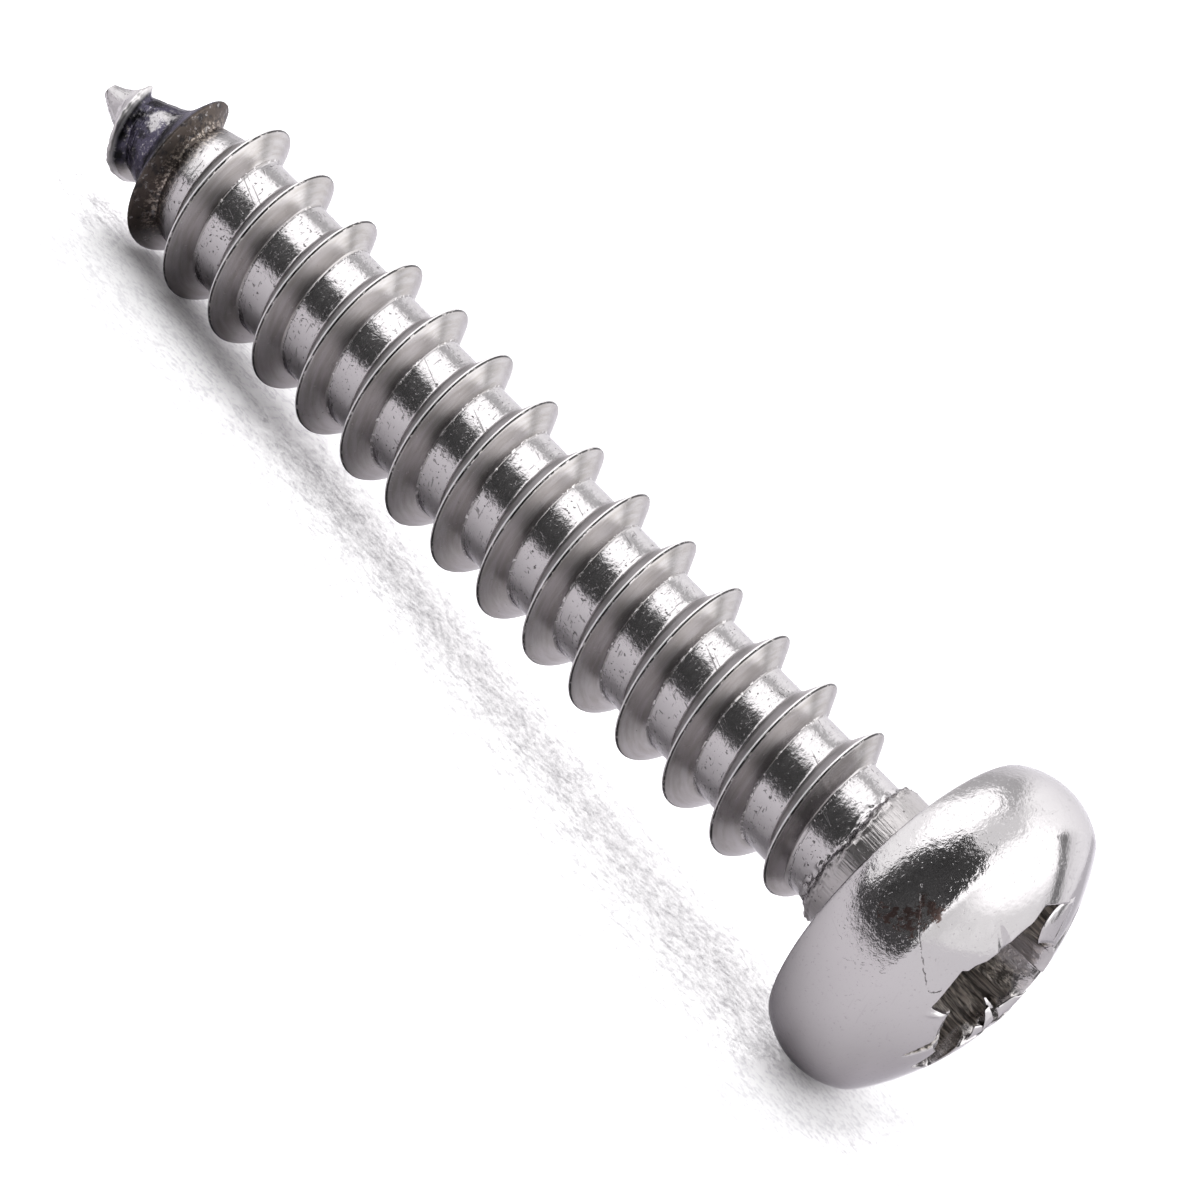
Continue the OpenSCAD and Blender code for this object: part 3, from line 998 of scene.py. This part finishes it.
    rough = steel["coreRough"] * plain + steel["headRough"] * onHead \
        + steel["collarRough"] * collared + steel["flankRough"] * flank
    rough = rough + recessed * steel["wallRough"] + grain.band(0.5, 0.8) * 0.05
    rough = rough + edge * 0.18 + rear * 0.15
    rough = rough + dark * 0.2 + brown * 0.2 + blue * 0.1 + rust * 0.3
    shader = n.make("ShaderNodeBsdfPrincipled", Base_Color=shade,
                    Metallic=1.0, Roughness=n.limit(rough), Normal=bump,
                    Specular_Tint=(*steel["rimTint"], 1))
    n.make("ShaderNodeOutputMaterial", Surface=shader)
    return material


screwPiece.data.materials.append(platedSteel())


# A pale floor under the screw, and a light tent of soft panels round it, with
# the dark of the open front between them. Angles are in degrees: azimuth 0 is
# the front, and grows to the right.
tent = {
    "gain": 1.3,
    "dome": 1.1,
    "panels": [
        # azimuth from, to, height from, to, softness, brightness
        (-250, 250, 70, 120, 12, 0.95),
        (-130, -40, 26, 72, 10, 1.8),
        (-126, -44, 8, 26, 12, 1.3),
        (65, 178, 40, 70, 8, 1.7),
        (65, 152, 13, 60, 8, 1.9),
        (70, 104, -10, 22, 22, 0.92),
        (147, 154, -4, 30, 3, 0.25),
        (-201, -152, -10, 60, 12, 1.45),
        (-147, -124, 26, 78, 10, 0.6),
        (-140, -106, 12, 37, 10, 0.66),
        (-48, -34, -20, 44, 6, 0.045),
        (-35, 62, -20, 68, 4, 0.035),
        (8, 58, 2, 26, 10, 0.08),
    ],
    "clutter": 0.19,
    "floorShade": (0.95, 0.945, 0.955),
    # how the floor shows in the metal, with painted light and shade
    "nearGlow": (0.8, 0.775, 0.805),
    "farGlow": (0.8, 0.785, 0.81),
    "backGlow": (1.12, 1.1, 1.14),
    "front": (-11, -25),
    "speckled": (0.76, 0.75, 0.775),
    "floorHalf": 1.5,
    "lift": 0.72,
}


def lightTent():
    world = bpy.data.worlds.new("light_tent")
    bpy.context.scene.world = world
    world.use_nodes = True
    n = Nodes(world.node_tree)
    way = n.make("ShaderNodeTexCoord")
    x, y, z = n.split(way)
    azimuth = n.maths("ARCTAN2", x, 0 - y) * (180 / math.pi)
    height = n.maths("ARCSINE", z) * (180 / math.pi)
    glow = tent["dome"]
    for left, right, low, high, soft, level in tent["panels"]:
        half = soft / 2
        tall = height.band(low - half, low + half) * height.band(high + half, high - half)
        inside = azimuth.band(left - half, left + half) \
            * azimuth.band(right + half, right - half) * tall
        if left < -180:
            # the panel goes on at the far end of the scale
            inside = n.limit(inside + azimuth.band(left + 360 - half, left + 360 + half) * tall)
        glow = glow * (1 - inside) + level * inside
    glow = glow + n.noise(way, 20, 3, 0.65).band(0.49, 0.67) * tent["clutter"]
    seen = n.make("ShaderNodeLightPath")
    strength = glow * tent["gain"] * (1 - seen) + seen
    back = n.make("ShaderNodeBackground", Color=(1, 1, 1, 1), Strength=strength)
    n.make("ShaderNodeOutputWorld", Surface=back)


def paleFloor():
    half = tent["floorHalf"]
    mesh = bpy.data.meshes.new("floor")
    mesh.from_pydata([(-half, -half, 0), (half, -half, 0), (half, half, 0), (-half, half, 0)],
                     [], [(0, 1, 2, 3)])
    floor = bpy.data.objects.new("floor", mesh)
    bpy.context.scene.collection.objects.link(floor)
    material, n = newMaterial("pale_floor")
    # the glow of the floor lifts its shadow for the camera alone, so no light
    # is sampled from it
    material.cycles.emission_sampling = "NONE"
    spot = n.make("ShaderNodeTexCoord", output=3)
    seen = n.make("ShaderNodeLightPath")
    x, y = [v / mm for v in n.split(spot)[:2]]
    # what the metal reflects of the floor: painted light and shade in place of the light it gets,
    # with a painted pool of light just behind the screw, a painted shadow under the shank near
    # the head, and painted shade past the front
    glow = n.mix((x * 0.6 + y * 0.8).band(-4, 34), (*tent["nearGlow"], 1), (*tent["farGlow"], 1))
    # painted shadow under the shank near the head
    glow = n.mix(y.band(-1.9, -1.1) * x.band(11, 8) * 0.3, glow, (0, 0, 0, 1))
    # painted pool of light just behind the screw
    glow = n.mix(y.band(-0.7, 0.7) * x.band(16, 11), glow, (*tent["backGlow"], 1))
    # painted shade on the floor past the open front
    glow = n.mix(y.band(*tent["front"]) * 0.93, glow, (0.01, 0.01, 0.01, 1))
    # what the camera sees of it: a grainy shadow, lifted by painted light so that it is paler
    # beside the screw and fades past its ends
    grainy = 0.8 * n.noise(spot, 6500, 3, 0.75) + 0.5 * n.noise(spot, 1800, 3, 0.7)
    looks = n.mix(grainy.band(0.72, 0.5), (*tent["floorShade"], 1), (*tent["speckled"], 1))
    shade = n.mix(seen, glow, looks)
    # painted light that lifts the shadow for the camera
    lift = x.band(-9.5, -1) * x.band(12.8, 11) * tent["lift"]
    lift = lift + x.band(-10.4, -12) + x.band(13.4, 15)
    paintedLift = seen * grainy.band(0.3, 1.0) * lift
    shader = n.make("ShaderNodeBsdfPrincipled", Base_Color=shade, Roughness=1.0,
                    Specular_IOR_Level=0.0, Emission_Strength=1.0,
                    Emission_Color=n.mix(paintedLift, (0, 0, 0, 1), (1, 0.98, 1, 1)))
    n.make("ShaderNodeOutputMaterial", Surface=shader)
    mesh.materials.append(material)


lightTent()
paleFloor()

# The camera looks down a little from the front left, rolled by an eighth of
# a turn, so that the screw runs from the upper left to the lower right.
view = {
    "place": (43.568, -122.668, 41.302),
    "azimuth": 18.722,
    "elevation": 16.539,
    "roll": 45,
    "lens": 199.42,
}


def makeCamera():
    lens = bpy.data.cameras.new("camera")
    lens.lens = view["lens"]
    lens.sensor_width = 36
    lens.clip_start = 0.001
    camera = bpy.data.objects.new("camera", lens)
    bpy.context.scene.collection.objects.link(camera)
    a, e = math.radians(view["azimuth"]), math.radians(view["elevation"])
    back = Vector((math.sin(a) * math.cos(e), -math.cos(a) * math.cos(e), math.sin(e)))
    right = Vector((math.cos(a), math.sin(a), 0))
    up = back.cross(right)
    roll = math.radians(view["roll"])
    right, up = (right * math.cos(roll) + up * math.sin(roll),
                 up * math.cos(roll) - right * math.sin(roll))
    camera.matrix_world = Matrix((
        (right.x, up.x, back.x, view["place"][0] * mm),
        (right.y, up.y, back.y, view["place"][1] * mm),
        (right.z, up.z, back.z, view["place"][2] * mm),
        (0, 0, 0, 1),
    ))
    bpy.context.scene.camera = camera


makeCamera()
bpy.context.scene.view_settings.view_transform = "Standard"
